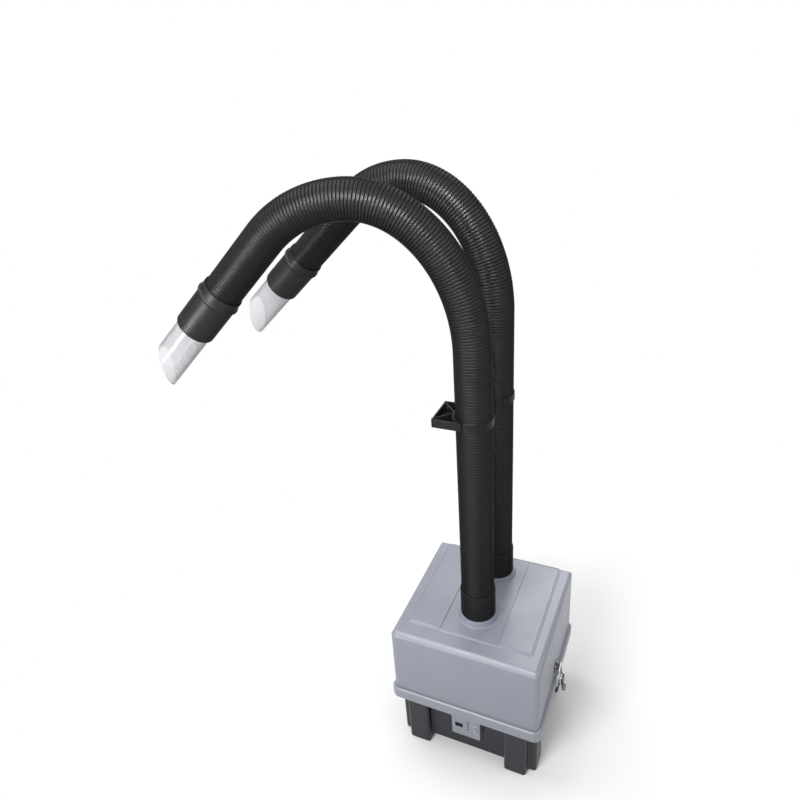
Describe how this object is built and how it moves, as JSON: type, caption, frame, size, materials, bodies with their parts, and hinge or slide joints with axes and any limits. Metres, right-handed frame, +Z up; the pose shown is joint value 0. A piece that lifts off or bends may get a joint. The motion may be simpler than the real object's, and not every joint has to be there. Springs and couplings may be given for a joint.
{
  "type": "bench fume extractor",
  "caption": "Portable bench fume extractor: a filter and fan unit with a latched lift-off hood, ribbed stay-put hose arms, bench brackets and slanted see-through nozzles.",
  "frame": {"origin": "on the floor, under the middle of the base", "axes": "+Z up, -Y is the front with the control panel, both arms reach out over -X"},
  "size_m": [0.7202, 0.3652, 1.1934],
  "materials": {
    "charcoal": "matte",
    "rim_grey": "satin",
    "hood_grey": "satin",
    "hose_black": "satin",
    "cuff_black": "satin",
    "bracket_black": "matte",
    "clear_plastic": "gloss",
    "steel": "satin",
    "black_steel": "satin",
    "seal_rubber": "matte",
    "casing_board": "matte",
    "filter_paper": "matte",
    "filter_fleece": "matte",
    "carbon_fleece": "matte",
    "foam": "matte",
    "dark_plastic": "matte",
    "motor_metal": "satin",
    "board_green": "satin",
    "display_dark": "gloss",
    "lamp_clear": "gloss",
    "key_grey": "satin",
    "pin_brass": "satin"
  },
  "bodies": {
    "base": {"base_tub": "charcoal", "deck_frame": "rim_grey", "deck_screws": "steel", "hood_seal": "seal_rubber", "filter_seal": "seal_rubber", "filter_casing": "casing_board", "carbon_bed": "carbon_fleece", "filter_pleats": "filter_paper", "prefilter_mat": "filter_fleece", "fan_gasket": "seal_rubber", "fan_scroll": "dark_plastic", "fan_screws": "steel", "fan_motor": "motor_metal", "panel_case": "rim_grey", "control_board": "board_green", "display_window": "display_dark", "status_lamps": "lamp_clear", "key_pad": "key_grey", "exhaust_grille": "dark_plastic", "exhaust_foam": "foam", "power_inlet": "dark_plastic", "inlet_pins": "pin_brass", "latch_plate_right": "steel", "latch_plate_left": "steel", "latch_rivets": "steel"},
    "fan": {"motor_shaft": "steel", "fan_impeller": "dark_plastic"},
    "key": {"power_key": "key_grey"},
    "lever_right": {"latch_lever_right": "black_steel"},
    "lever_left": {"latch_lever_left": "black_steel"},
    "bail_right": {"latch_bail_right": "steel"},
    "bail_left": {"latch_bail_left": "steel"},
    "hood": {"hood_shell": "hood_grey", "latch_keeper_right": "black_steel", "latch_keeper_left": "black_steel", "keeper_rivets": "steel", "inlet_spigot_front": "hood_grey", "inlet_spigot_rear": "hood_grey", "spigot_nuts": "dark_plastic", "inlet_cuff_front": "cuff_black", "inlet_cuff_rear": "cuff_black", "hose_lower_front": "hose_black", "hose_lower_rear": "hose_black"},
    "front_clamp": {"bracket_front": "bracket_black", "strap_front": "bracket_black"},
    "rear_clamp": {"bracket_rear": "bracket_black", "strap_rear": "bracket_black"},
    "front_arm": {"hose_upper_front": "hose_black"},
    "rear_arm": {"hose_upper_rear": "hose_black"},
    "front_tip": {"nozzle_cuff_front": "cuff_black"},
    "rear_tip": {"nozzle_cuff_rear": "cuff_black"},
    "front_nozzle": {"nozzle_front": "clear_plastic"},
    "rear_nozzle": {"nozzle_rear": "clear_plastic"}
  },
  "joints": [
    {"name": "hood_lift", "type": "slide", "parent": "base", "child": "hood", "axis": [0, 0, 1], "range_m": [0, 0.16]},
    {"name": "fan_spin", "type": "hinge", "parent": "base", "child": "fan", "pos_m": [0, 0, 0.1], "axis": [0, 0, 1], "continuous": true},
    {"name": "key_press", "type": "slide", "parent": "base", "child": "key", "axis": [0, 1, 0], "range_m": [0, 0.001], "stiffness_N_per_m": 300, "springref_m": -0.002},
    {"name": "latch_right", "type": "hinge", "parent": "base", "child": "lever_right", "pos_m": [0.167, 0, 0.155], "axis": [0, -1, 0], "range_deg": [0, 110]},
    {"name": "bail_right", "type": "hinge", "parent": "lever_right", "child": "bail_right", "pos_m": [0.168, 0, 0.144], "axis": [0, -1, 0], "range_deg": [-110, 0]},
    {"name": "latch_left", "type": "hinge", "parent": "base", "child": "lever_left", "pos_m": [-0.167, 0, 0.155], "axis": [0, 1, 0], "range_deg": [0, 110]},
    {"name": "bail_left", "type": "hinge", "parent": "lever_left", "child": "bail_left", "pos_m": [-0.168, 0, 0.144], "axis": [0, 1, 0], "range_deg": [-110, 0]},
    {"name": "front_clamp_slide", "type": "slide", "parent": "hood", "child": "front_clamp", "axis": [0, 0, 1], "range_m": [-0.3, 0.04]},
    {"name": "front_swing", "type": "hinge", "parent": "hood", "child": "front_arm", "pos_m": [0, -0.041, 0.835], "axis": [0, 0, 1], "range_deg": [-10, 45]},
    {"name": "front_bend", "type": "hinge", "parent": "front_arm", "child": "front_tip", "pos_m": [-0.18353, -0.09018, 1.161], "axis": [-0.2588, 0.9659, 0], "range_deg": [-25, 35], "deforming": ["hose_upper_front"]},
    {"name": "front_nozzle_turn", "type": "hinge", "parent": "front_tip", "child": "front_nozzle", "pos_m": [-0.39526, -0.14691, 1.0205], "axis": [-0.683, -0.183, -0.7071], "continuous": true},
    {"name": "rear_clamp_slide", "type": "slide", "parent": "hood", "child": "rear_clamp", "axis": [0, 0, 1], "range_m": [-0.3, 0.04]},
    {"name": "rear_swing", "type": "hinge", "parent": "hood", "child": "rear_arm", "pos_m": [0, 0.089, 0.835], "axis": [0, 0, 1], "range_deg": [-45, 8]},
    {"name": "rear_bend", "type": "hinge", "parent": "rear_arm", "child": "rear_tip", "pos_m": [-0.16, 0.089, 1.156], "axis": [0, 1, 0], "range_deg": [-25, 35], "deforming": ["hose_upper_rear"]},
    {"name": "rear_nozzle_turn", "type": "hinge", "parent": "rear_tip", "child": "rear_nozzle", "pos_m": [-0.37979, 0.089, 1.00947], "axis": [-0.7373, 0, -0.6756], "continuous": true}
  ],
  "couplings": [
    {"joint": "bail_right", "follows": "latch_right", "ratio": -1},
    {"joint": "bail_left", "follows": "latch_left", "ratio": -1}
  ]
}
